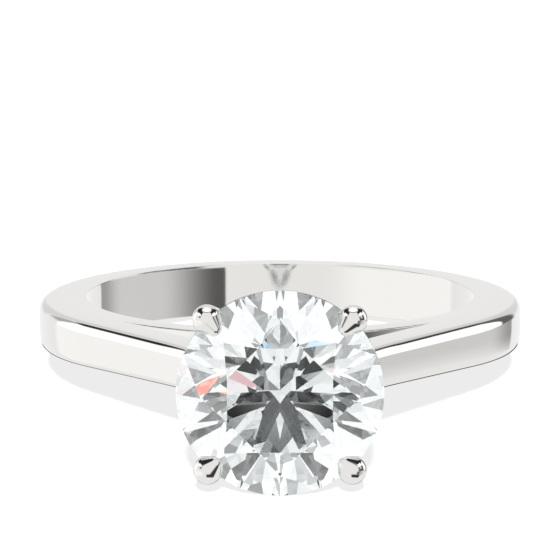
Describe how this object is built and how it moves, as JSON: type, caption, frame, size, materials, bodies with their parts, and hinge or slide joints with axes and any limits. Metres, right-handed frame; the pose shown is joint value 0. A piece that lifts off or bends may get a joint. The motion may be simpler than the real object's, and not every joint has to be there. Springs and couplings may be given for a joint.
{
  "type": "engagement ring",
  "caption": "Solitaire engagement ring: tapering band, raised cathedral shoulders over a bridge, and a claw head holding a large round brilliant.",
  "frame": {"origin": "centre of the finger hole, midway across the band's width", "axes": "+Z along the finger, -Y from the finger out through the stone's table, +X to the right shoulder seen from the table"},
  "size_m": [0.0212, 0.0285, 0.0074],
  "materials": {
    "band_metal": "high polish white gold or platinum",
    "head_metal": "high polish white gold or platinum",
    "stone": "faceted, clear and colourless"
  },
  "bodies": {
    "root": {"shank": "band_metal", "bridge": "band_metal", "shoulder_left": "band_metal", "shoulder_right": "band_metal", "head_base": "head_metal", "gallery_collet": "head_metal", "gallery_rail": "head_metal", "claw_1": "head_metal", "claw_2": "head_metal", "claw_3": "head_metal", "claw_4": "head_metal", "stone": "stone"}
  },
  "joints": []
}
